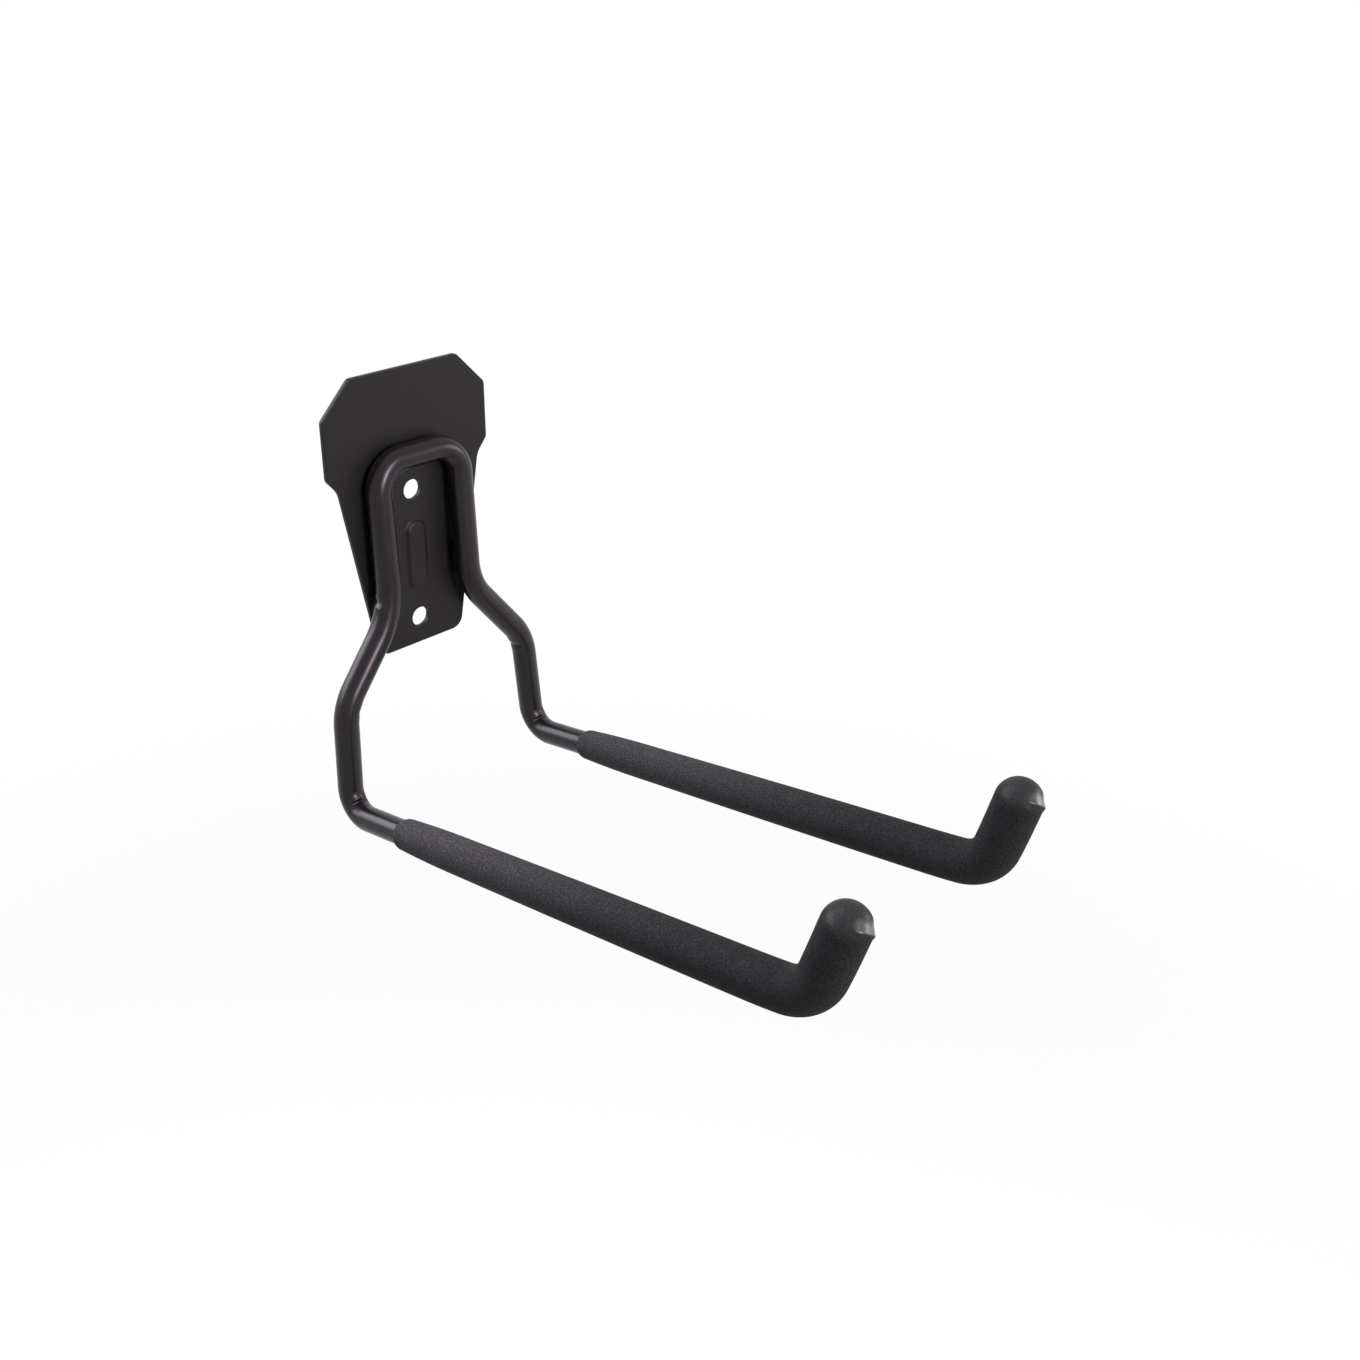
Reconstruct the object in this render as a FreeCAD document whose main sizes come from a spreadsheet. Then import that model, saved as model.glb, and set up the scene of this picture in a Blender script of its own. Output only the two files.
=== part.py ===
import FreeCAD, Part
import math
import os
import Sketcher

# Garage utility hook: a stamped wall plate, one bent tube welded to it, and two soft sleeves.
# Frame: X to the viewer's right, Z up, the wall at y = 0 and the arms towards -Y.
# The origin is the middle of the two screw holes, on the back of the plate.

doc = FreeCAD.newDocument("garage_hook")
sheet = doc.addObject("Spreadsheet::Sheet", "sizes")

# name, value in mm or degrees, what it is
SIZES = (
    ("sheet_t", 2.0, "plate thickness"),
    ("hole_d", 8.1, "screw hole"),
    ("hole_pitch", 54.8, "between the two screw holes"),
    ("top_w", 50.4, "width of the top edge"),
    ("top_rise", 49.3, "top edge above the upper hole"),
    ("head_w", 77.0, "width over the flanks"),
    ("corner_drop", 13.7, "height of the cut top corners"),
    ("flank_h", 22.9, "height of the upright flanks"),
    ("neck_step", 4.9, "step in under the flanks, each side"),
    ("neck_drop", 5.8, "height of the step in under the flanks"),
    ("foot_w", 41.3, "width of the bottom edge"),
    ("foot_drop", 11.1, "bottom edge below the lower hole"),
    ("head_r", 3.0, "rounding of the head's corners"),
    ("neck_r", 9.0, "rounding in the neck"),
    ("foot_r", 5.5, "rounding of the foot's corners"),
    ("edge_r", 0.5, "rolled front edge of the blank"),
    ("rib_len", 30.0, "pressed rib, length"),
    ("rib_w", 9.4, "pressed rib, width"),
    ("rib_h", 1.2, "pressed rib, height"),
    ("rib_slope", 38.0, "lean of the rib's sides"),
    ("rib_r", 0.6, "rounding of the rib's crown"),
    ("rib_wall", 1.3, "recess inside the rib's outline"),
    ("tube_d", 10.0, "tube, outside"),
    ("tube_wall", 1.2, "tube wall"),
    ("seat", 0.25, "flat on the tube where it is welded to the plate"),
    ("frame_lean", 2.75, "lean of the tube's frame away from the plate"),
    ("loop_w", 39.2, "between the axes of the loop's two legs"),
    ("loop_rise", 16.2, "axis of the loop's top above the upper hole"),
    ("loop_r", 12.0, "bend of the loop's corners"),
    ("leg_len", 60.0, "loop's legs, from the top axis to the flare"),
    ("flare_angle", 39.0, "flare, from the line of the legs"),
    ("flare_len", 41.5, "flare, between its corners"),
    ("flare_r", 38.0, "upper bend of the flare"),
    ("knee_r", 25.0, "lower bend of the flare"),
    ("shin_splay", 3.5, "splay of the lower legs"),
    ("shin_len", 45.6, "lower legs, between their corners"),
    ("heel_r", 10.5, "bend from leg to arm"),
    ("heel_lead", 20.0, "leg drawn with the arm, above the bend's corner"),
    ("arm_len", 232.3, "arms, between their corners"),
    ("arm_tilt", 9.57, "rise of the arms"),
    ("tip_lean", 15.7, "lean of the tips, outwards"),
    ("tip_r", 20.0, "bend from arm to tip"),
    ("tube_tip", 31.0, "tube past the last corner"),
    ("weld_low", 50.0, "lower weld, below the loop's top axis"),
    ("weld_len", 14.0, "lower weld, length"),
    ("weld_w", 3.4, "lower weld, width"),
    ("weld_bite", 0.35, "lower weld, into the tube's wall"),
    ("sleeve_start", 31.8, "sleeve's open end from the leg, along the arm"),
    ("sleeve_fit", 0.0, "sleeve's bore over the tube, on the radius"),
    ("mouth_d", 12.1, "sleeve at its open end"),
    ("mouth_len", 40.0, "length over which the open end opens out"),
    ("mouth_r", 0.8, "rounding of the open end"),
    ("root_d", 14.2, "sleeve behind the open end"),
    ("sleeve_d", 15.8, "sleeve at the end bend and tip"),
    ("elbow_lead", 18.0, "even part of the sleeve before the end bend's corner"),
    ("end_gap", 0.0, "tube's end to the sleeve's closed end"),
    ("end_h", 8.6, "closed end, thickness at its middle"),
    ("crown_r", 8.3, "closed end, radius of its crown"),
    ("end_r", 7.2, "closed end, rounding of its rim"),
)

# what follows from the sizes above
DERIVED = (
    ("upper_z", "=hole_pitch / 2", "upper hole"),
    ("top_z", "=upper_z + top_rise", "top edge"),
    ("shoulder_z", "=top_z - corner_drop", "top of the flanks"),
    ("flank_z", "=shoulder_z - flank_h", "bottom of the flanks"),
    ("neck_z", "=flank_z - neck_drop", "neck"),
    ("neck_w", "=head_w - 2 * neck_step", "width under the flanks"),
    ("foot_z", "=-(upper_z + foot_drop)", "bottom edge"),
    ("axis_off", "=sheet_t + tube_d / 2 - seat", "loop's top axis from the wall"),
    ("loop_z", "=upper_z + loop_rise", "loop's top axis"),
    ("heel_run", "=leg_len + flare_len * cos(flare_angle) + shin_len * cos(shin_splay)", "down the frame to the heel"),
    ("heel_x", "=loop_w / 2 + flare_len * sin(flare_angle) + shin_len * sin(shin_splay)", "heel, sideways"),
    ("heel_y", "=-(axis_off + heel_run * sin(frame_lean))", "heel, from the wall"),
    ("heel_z", "=loop_z - heel_run * cos(frame_lean)", "heel, height"),
    ("arm_roll", "=atan(tan(shin_splay) / cos(frame_lean)) / 1 deg", "roll of the arm's plane"),
    ("heel_lean", "=asin(sin(frame_lean) * cos(shin_splay)) / 1 deg", "lean of the lower leg in the arm's plane"),
    ("end_turn", "=90 - arm_tilt - tip_lean", "turn of the end bend"),
    ("tip_len", "=tube_tip + end_gap", "last corner to the sleeve's closed end"),
    ("tip_out", "=arm_len * cos(arm_tilt) + tip_len * sin(tip_lean)", "closed end, out from the heel"),
    ("tip_up", "=arm_len * sin(arm_tilt) + tip_len * cos(tip_lean)", "closed end, up from the heel"),
    ("weld_z", "=loop_z - weld_low * cos(frame_lean)", "lower weld, height"),
    ("weld_h", "=(weld_low + weld_len / 2) * sin(frame_lean) - seat + weld_bite", "lower weld, off the plate"),
    ("bore_d", "=tube_d + 2 * sleeve_fit", "sleeve's bore"),
)

HEEL = "vector(sizes.heel_y; sizes.heel_z; sizes.heel_x)"
TIP = (
    "vector(sizes.heel_y - sizes.tip_out; sizes.heel_z + sizes.tip_up * cos(sizes.arm_roll);"
    " sizes.heel_x - sizes.tip_up * sin(sizes.arm_roll))"
)
# the sketch planes that lie off the origin planes
FRONT_FACE = "placement(vector(0; 0; sizes.sheet_t); rotationx(0))"
FRAME_PLANE = "placement(vector(0; sizes.loop_z; sizes.axis_off); rotationx(-sizes.frame_lean))"
ARM_PLANE = "placement(" + HEEL + "; rotationx(-sizes.arm_roll))"
ALONG_ARM = "placement(" + HEEL + "; rotationx(-sizes.arm_roll) * rotationz(180 - sizes.arm_tilt))"
ALONG_TIP = "placement(" + TIP + "; rotationx(-sizes.arm_roll) * rotationz(90 + sizes.tip_lean))"

# a sketch's own origin, as its constraints name it
ORIGIN = (-1, 1)


def fill_sheet():
    for row, (name, value, note) in enumerate(SIZES + DERIVED, start=1):
        sheet.set("A%d" % row, str(value))
        sheet.setAlias("A%d" % row, name)
        sheet.set("B%d" % row, note)
    doc.recompute()


def size(name):
    return float(sheet.get(name))


def new_body(name):
    body = doc.addObject("PartDesign::Body", name)
    body.Label = name
    return body


def plane(body, role):
    return next(f for f in body.Origin.OriginFeatures if f.Role == role)


def sketch_on(body, name, role, offset=None):
    sketch = body.newObject("Sketcher::SketchObject", name)
    sketch.AttachmentSupport = [(plane(body, role), "")]
    sketch.MapMode = "FlatFace"
    if offset:
        sketch.setExpression("AttachmentOffset", offset)
    return sketch


def axis(name):
    # a sketch's own axes, as its constraints name them
    return -1 if name == "H" else -2


def tie(sketch, kind, *refs):
    return sketch.addConstraint(Sketcher.Constraint(kind, *refs))


def dim(sketch, name, expression, kind, *refs):
    # a driving dimension, bound to the sheet
    index = tie(sketch, kind, *refs)
    sketch.renameConstraint(index, name)
    sketch.setExpression("Constraints." + name, expression)


def vec(x, y):
    return FreeCAD.Vector(x, y, 0)


def line(sketch, a, b, construction=False):
    return sketch.addGeometry(Part.LineSegment(vec(*a), vec(*b)), construction)


def circle(sketch, name, expression, centre=(0, 0), diameter=1.0):
    ring = sketch.addGeometry(Part.Circle(vec(*centre), FreeCAD.Vector(0, 0, 1), diameter / 2), False)
    dim(sketch, name, expression, "Diameter", ring, diameter)
    return ring


def chain(sketch, points):
    # closed chain of straight lines
    ids = [line(sketch, a, b) for a, b in zip(points, points[1:] + points[:1])]
    for a, b in zip(ids, ids[1:] + ids[:1]):
        tie(sketch, "Coincident", a, 2, b, 1)
    return ids


def bent_path(sketch, corners, radii):
    # straight runs with tangent bends between; the corners stay as points, for the dimensions
    pts = [vec(*c) for c in corners]
    starts = list(pts[:-1])
    stops = list(pts[1:])
    arcs = []
    for i, name in enumerate(radii, start=1):
        before = (pts[i] - pts[i - 1]).normalize()
        after = (pts[i + 1] - pts[i]).normalize()
        left = before.cross(after).z > 0
        lead = size(name) * math.tan(before.getAngle(after) / 2)
        stops[i - 1] = pts[i] - before * lead
        starts[i] = pts[i] + after * lead
        inward = vec(-before.y, before.x) if left else vec(before.y, -before.x)
        centre = stops[i - 1] + inward * size(name)
        first, last = (stops[i - 1], starts[i]) if left else (starts[i], stops[i - 1])
        a = math.atan2(first.y - centre.y, first.x - centre.x)
        b = math.atan2(last.y - centre.y, last.x - centre.x)
        ring = Part.Circle(centre, FreeCAD.Vector(0, 0, 1), size(name))
        arcs.append((Part.ArcOfCircle(ring, a, b if b > a else b + 2 * math.pi), left, name))
    runs = [sketch.addGeometry(Part.LineSegment(a, b), False) for a, b in zip(starts, stops)]
    points = [(runs[0], 1)]
    for i, (arc, left, name) in enumerate(arcs):
        bend = sketch.addGeometry(arc, False)
        tie(sketch, "Tangent", runs[i], 2, bend, 1 if left else 2)
        tie(sketch, "Tangent", bend, 2 if left else 1, runs[i + 1], 1)
        dim(sketch, "bend_" + name, "sizes." + name, "Radius", bend, size(name))
        corner = sketch.addGeometry(Part.Point(pts[i + 1]), True)
        tie(sketch, "PointOnObject", corner, 1, runs[i])
        tie(sketch, "PointOnObject", corner, 1, runs[i + 1])
        points.append((corner, 1))
    points.append((runs[-1], 2))
    return runs, points


def run_length(sketch, points, i, name, expression, value):
    dim(sketch, name, expression, "Distance", *points[i], *points[i + 1], value)


def run_angle(sketch, runs, i, name, expression, degrees):
    dim(sketch, name, "(" + expression + ") * 1 deg", "Angle", runs[i], math.radians(degrees))


def across(body, name, path, expressions):
    # concentric circles square to the start of a path
    sketch = body.newObject("Sketcher::SketchObject", name)
    sketch.AttachmentSupport = [(path, "Edge1")]
    sketch.MapMode = "NormalToEdge"
    for key, expression, value in expressions:
        ring = circle(sketch, key, expression, (0, 0), value)
        tie(sketch, "Coincident", ring, 3, *ORIGIN)
    return sketch


def sweep(body, name, profile, path):
    pipe = body.newObject("PartDesign::AdditivePipe", name)
    pipe.Profile = profile
    pipe.Spine = (path, ["Edge%d" % (i + 1) for i in range(len(path.Shape.Edges))])
    body.Tip = pipe
    doc.recompute()
    return pipe


def fillet(body, name, expression, pick):
    base = body.Tip
    edges = ["Edge%d" % (i + 1) for i, e in enumerate(base.Shape.Edges) if pick(e)]
    feature = body.newObject("PartDesign::Fillet", name)
    feature.Base = (base, edges)
    feature.setExpression("Radius", expression)
    body.Tip = feature
    doc.recompute()
    return feature


def upright_at(x, z):
    # picks the plate's short edges through the sheet at (+-x, z)
    def pick(edge):
        ends = [v.Point for v in edge.Vertexes]
        if len(ends) != 2 or abs(ends[0].x - ends[1].x) > 0.01:
            return False
        return all(abs(abs(p.x) - x) < 0.01 and abs(p.z - z) < 0.01 for p in ends)
    return pick


def level(y):
    # picks edges that lie flat at one distance from the wall
    def pick(edge):
        return edge.BoundBox.YLength < 0.001 and abs(edge.BoundBox.YMin - y) < 0.001
    return pick


def ring(radius):
    # picks round edges of one radius
    def pick(edge):
        return hasattr(edge.Curve, "Radius") and abs(edge.Curve.Radius - radius) < 0.001
    return pick


def slot(sketch, length, width, at):
    # upright slot: two round ends joined by tangent lines, its middle at a point of the sketch
    r = width / 2
    h = length / 2 - r
    x, y = at
    up = FreeCAD.Vector(0, 0, 1)
    top = sketch.addGeometry(Part.ArcOfCircle(Part.Circle(vec(x, y + h), up, r), 0, math.pi), False)
    low = sketch.addGeometry(Part.ArcOfCircle(Part.Circle(vec(x, y - h), up, r), math.pi, 2 * math.pi), False)
    left = line(sketch, (x - r, y + h), (x - r, y - h))
    right = line(sketch, (x + r, y - h), (x + r, y + h))
    tie(sketch, "Tangent", top, 2, left, 1)
    tie(sketch, "Tangent", left, 2, low, 1)
    tie(sketch, "Tangent", low, 2, right, 1)
    tie(sketch, "Tangent", right, 2, top, 1)
    tie(sketch, "Vertical", left)
    return top, low


def build_plate():
    body = new_body("wall_plate")
    outline = sketch_on(body, "plate_outline", "XZ_Plane")
    half = [
        (size("top_w") / 2, size("top_z")),
        (size("head_w") / 2, size("shoulder_z")),
        (size("head_w") / 2, size("flank_z")),
        (size("neck_w") / 2, size("neck_z")),
        (size("foot_w") / 2, size("foot_z")),
    ]
    sides = chain(outline, half + [(-x, z) for x, z in reversed(half)])
    count = len(half)
    for i in range(count):
        tie(outline, "Symmetric", sides[i], 1, sides[2 * count - 1 - i], 1, axis("V"))
    corners = (
        ("top", "top_w", "top_z"),
        ("shoulder", "head_w", "shoulder_z"),
        ("flank", "head_w", "flank_z"),
        ("neck", "neck_w", "neck_z"),
        ("foot", "foot_w", "foot_z"),
    )
    for side, (name, wide, high) in zip(sides, corners):
        dim(outline, name + "_x", "sizes." + wide + " / 2", "DistanceX", *ORIGIN, side, 1, size(wide) / 2)
        dim(outline, name + "_y", "sizes." + high, "DistanceY", *ORIGIN, side, 1, size(high))
    blank = body.newObject("PartDesign::Pad", "blank")
    blank.Profile = outline
    blank.setExpression("Length", "sizes.sheet_t")
    body.Tip = blank
    doc.recompute()
    fillet(body, "head_top", "sizes.head_r", upright_at(size("top_w") / 2, size("top_z")))
    fillet(body, "head_shoulder", "sizes.head_r", upright_at(size("head_w") / 2, size("shoulder_z")))
    fillet(body, "head_flank", "sizes.head_r", upright_at(size("head_w") / 2, size("flank_z")))
    fillet(body, "neck", "sizes.neck_r", upright_at(size("neck_w") / 2, size("neck_z")))
    fillet(body, "foot", "sizes.foot_r", upright_at(size("foot_w") / 2, size("foot_z")))
    fillet(body, "rolled_edge", "sizes.edge_r", level(-size("sheet_t")))

    holes = sketch_on(body, "hole_centres", "XZ_Plane")
    for name, sign in (("upper", 1), ("lower", -1)):
        z = sign * size("upper_z")
        ring = circle(holes, name + "_d", "sizes.hole_d", (0, z), size("hole_d"))
        tie(holes, "PointOnObject", ring, 3, axis("V"))
        dim(holes, name + "_z", "%d * sizes.upper_z" % sign, "DistanceY", *ORIGIN, ring, 3, z)
    punch = body.newObject("PartDesign::Pocket", "screw_holes")
    punch.Profile = holes
    punch.Type = "ThroughAll"
    punch.Midplane = True
    body.Tip = punch

    # the rib is pressed forward out of the sheet, so its back is hollow
    for name, cut in (("rib", False), ("rib_recess", True)):
        inset = " - 2 * sizes.rib_wall" if cut else ""
        less = 2 * size("rib_wall") if cut else 0
        sketch = sketch_on(body, name + "_outline", "XZ_Plane", None if cut else FRONT_FACE)
        long, wide = size("rib_len") - less, size("rib_w") - less
        top, low = slot(sketch, long, wide, (0, 0))
        tie(sketch, "Symmetric", top, 3, low, 3, *ORIGIN)
        tie(sketch, "PointOnObject", top, 3, axis("V"))
        dim(sketch, "end_r", "(sizes.rib_w" + inset + ") / 2", "Radius", top, wide / 2)
        dim(sketch, "half", "(sizes.rib_len - sizes.rib_w) / 2", "DistanceY", *ORIGIN, top, 3, (long - wide) / 2)
        form = body.newObject("PartDesign::Pocket" if cut else "PartDesign::Pad", name)
        form.Profile = sketch
        form.setExpression("Length", "sizes.rib_h")
        form.setExpression("TaperAngle", "-sizes.rib_slope")
        form.Reversed = cut
        body.Tip = form
        doc.recompute()
        if not cut:
            fillet(body, "rib_crown", "sizes.rib_r", level(-size("sheet_t") - size("rib_h")))
    return body


def build_tube():
    body = new_body("hook_tube")
    ring_sizes = (
        ("outside", "sizes.tube_d", size("tube_d")),
        ("inside", "sizes.tube_d - 2 * sizes.tube_wall", size("tube_d") - 2 * size("tube_wall")),
    )

    # right half of the frame, in its own leaning plane: loop, leg, flare and lower leg
    frame = sketch_on(body, "frame_path", "XZ_Plane", FRAME_PLANE)
    x = size("loop_w") / 2
    y = -size("leg_len")
    flare = math.radians(size("flare_angle"))
    splay = math.radians(size("shin_splay"))
    fx, fy = x + size("flare_len") * math.sin(flare), y - size("flare_len") * math.cos(flare)
    drop = size("shin_len") - size("heel_lead")
    shin = (fx + drop * math.sin(splay), fy - drop * math.cos(splay))
    runs, points = bent_path(frame, [(0, 0), (x, 0), (x, y), (fx, fy), shin], ("loop_r", "flare_r", "knee_r"))
    tie(frame, "Coincident", *points[0], *ORIGIN)
    tie(frame, "Horizontal", runs[0])
    tie(frame, "Vertical", runs[1])
    run_length(frame, points, 0, "half_loop", "sizes.loop_w / 2", x)
    run_length(frame, points, 1, "leg", "sizes.leg_len", size("leg_len"))
    run_length(frame, points, 2, "flare", "sizes.flare_len", size("flare_len"))
    run_length(frame, points, 3, "shin", "sizes.shin_len - sizes.heel_lead", drop)
    run_angle(frame, runs, 2, "flare_to", "sizes.flare_angle - 90", size("flare_angle") - 90)
    run_angle(frame, runs, 3, "shin_to", "sizes.shin_splay - 90", size("shin_splay") - 90)
    doc.recompute()
    frame_ring = across(body, "frame_ring", frame, ring_sizes)
    frame_tube = sweep(body, "frame_tube", frame_ring, frame)

    # the rest of the right side, in the plane of the lower leg and the arm
    arm = sketch_on(body, "arm_path", "YZ_Plane", ARM_PLANE)
    lean = math.radians(size("heel_lean"))
    lead = size("heel_lead")
    tilt = math.radians(size("arm_tilt"))
    out = math.radians(size("tip_lean"))
    ax, ay = -size("arm_len") * math.cos(tilt), size("arm_len") * math.sin(tilt)
    tip = (ax - size("tube_tip") * math.sin(out), ay + size("tube_tip") * math.cos(out))
    start = (lead * math.sin(lean), lead * math.cos(lean))
    runs, points = bent_path(arm, [start, (0, 0), (ax, ay), tip], ("heel_r", "tip_r"))
    tie(arm, "Coincident", *points[1], *ORIGIN)
    run_length(arm, points, 0, "lead", "sizes.heel_lead", lead)
    run_length(arm, points, 1, "arm", "sizes.arm_len", size("arm_len"))
    run_length(arm, points, 2, "tip", "sizes.tube_tip", size("tube_tip"))
    run_angle(arm, runs, 0, "lead_to", "270 - sizes.heel_lean", 270 - size("heel_lean"))
    run_angle(arm, runs, 1, "arm_to", "180 - sizes.arm_tilt", 180 - size("arm_tilt"))
    run_angle(arm, runs, 2, "tip_to", "90 + sizes.tip_lean", 90 + size("tip_lean"))
    doc.recompute()
    arm_ring = across(body, "arm_ring", arm, ring_sizes)
    arm_tube = sweep(body, "arm_tube", arm_ring, arm)

    both = body.newObject("PartDesign::Mirrored", "both_sides")
    both.Originals = [frame_tube, arm_tube]
    both.MirrorPlane = (plane(body, "YZ_Plane"), [""])
    body.Tip = both
    doc.recompute()

    # the frame leans off the plate, so each leg has a weld between its back and the plate
    welds = sketch_on(body, "weld_outline", "XZ_Plane", FRONT_FACE)
    for name, sign in (("right", 1), ("left", -1)):
        at = (sign * size("loop_w") / 2, size("weld_z"))
        top, low = slot(welds, size("weld_len"), size("weld_w"), at)
        reach = (size("weld_len") - size("weld_w")) / 2
        dim(welds, name + "_r", "sizes.weld_w / 2", "Radius", top, size("weld_w") / 2)
        dim(welds, name + "_x", "%d * sizes.loop_w / 2" % sign, "DistanceX", *ORIGIN, top, 3, at[0])
        for key, end, way in (("top", top, "+"), ("low", low, "-")):
            z = at[1] + (reach if way == "+" else -reach)
            half = "sizes.weld_z " + way + " (sizes.weld_len - sizes.weld_w) / 2"
            dim(welds, name + "_" + key, half, "DistanceY", *ORIGIN, end, 3, z)
    weld = body.newObject("PartDesign::Pad", "lower_welds")
    weld.Profile = welds
    weld.setExpression("Length", "sizes.weld_h")
    body.Tip = weld
    doc.recompute()

    # the loop's top is pressed flat where it seats on the plate
    seat = sketch_on(body, "seat_outline", "XZ_Plane", FRONT_FACE)
    w, top, low = size("head_w") / 2, size("top_z"), size("foot_z")
    sides = chain(seat, [(-w, low), (w, low), (w, top), (-w, top)])
    for side in sides[::2]:
        tie(seat, "Horizontal", side)
    for side in sides[1::2]:
        tie(seat, "Vertical", side)
    dim(seat, "left", "-sizes.head_w / 2", "DistanceX", *ORIGIN, sides[0], 1, -w)
    dim(seat, "right", "sizes.head_w / 2", "DistanceX", *ORIGIN, sides[1], 1, w)
    dim(seat, "low", "sizes.foot_z", "DistanceY", *ORIGIN, sides[0], 1, low)
    dim(seat, "top", "sizes.top_z", "DistanceY", *ORIGIN, sides[2], 1, top)
    before = body.Tip.Shape.Volume
    flat = body.newObject("PartDesign::Pocket", "seat_flat")
    flat.Profile = seat
    flat.Type = "ThroughAll"
    body.Tip = flat
    doc.recompute()
    print("tube before and after the seat", round(before, 1), round(body.Shape.Volume, 1))
    return body


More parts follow.
